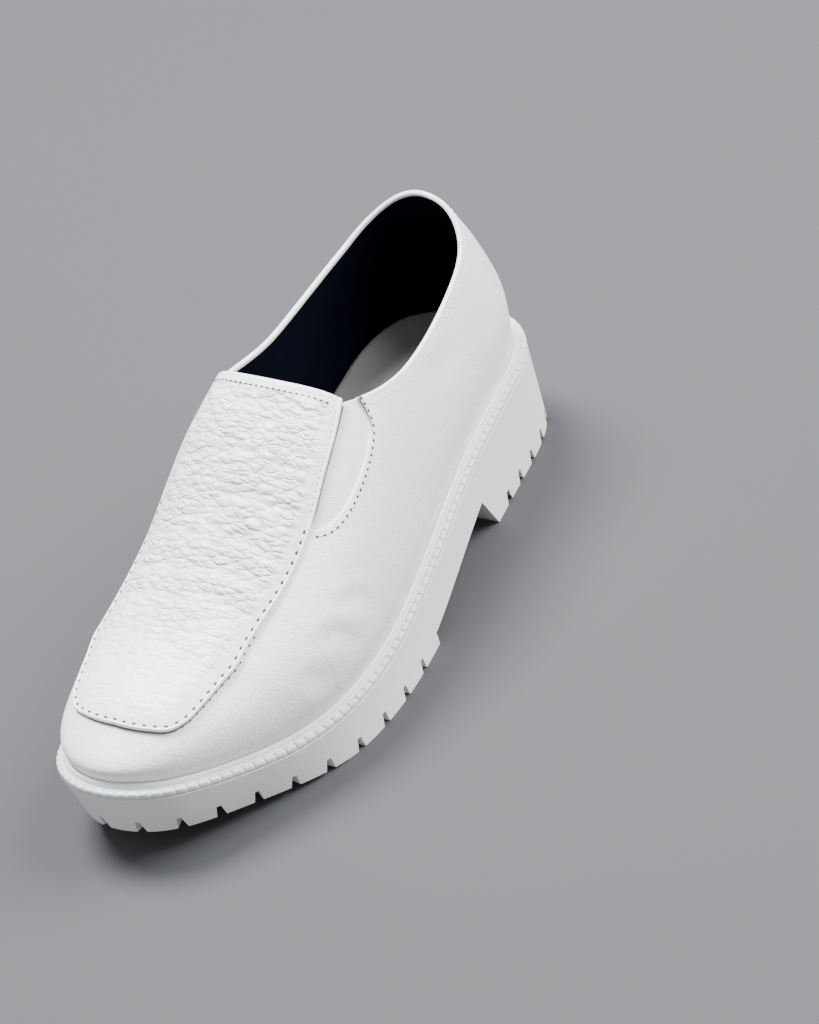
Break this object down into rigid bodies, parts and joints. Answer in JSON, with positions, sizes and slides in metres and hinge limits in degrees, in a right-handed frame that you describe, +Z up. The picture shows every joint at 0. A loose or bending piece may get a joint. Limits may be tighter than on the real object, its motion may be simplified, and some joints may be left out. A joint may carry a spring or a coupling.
{
  "type": "nursing shoe",
  "caption": "Slip-on work shoe with a raised apron, elastic gussets beside the throat and a thick lugged sole with a heel.",
  "frame": {"origin": "middle of the shoe's box, on the floor that it stands on", "axes": "+Y towards the heel, -Y towards the toe, +X towards the outer side of the left foot, +Z up"},
  "size_m": [0.1049, 0.285, 0.1159],
  "materials": {
    "sole_rubber": "matt moulded white rubber",
    "welt_rubber": "bluish white, slightly glossy, wheeled",
    "insole_sock": "matt grey-white leather sock",
    "smooth_leather": "white, fine grain, semi-gloss",
    "grained_leather": "white, coarse tumbled grain, semi-gloss",
    "elastic": "white ribbed elastic, matt"
  },
  "bodies": {
    "root": {"outsole": "sole_rubber", "welt": "welt_rubber", "insole": "insole_sock", "upper": "smooth_leather", "apron": "grained_leather", "gore_outer": "elastic", "gore_inner": "elastic"}
  },
  "joints": []
}
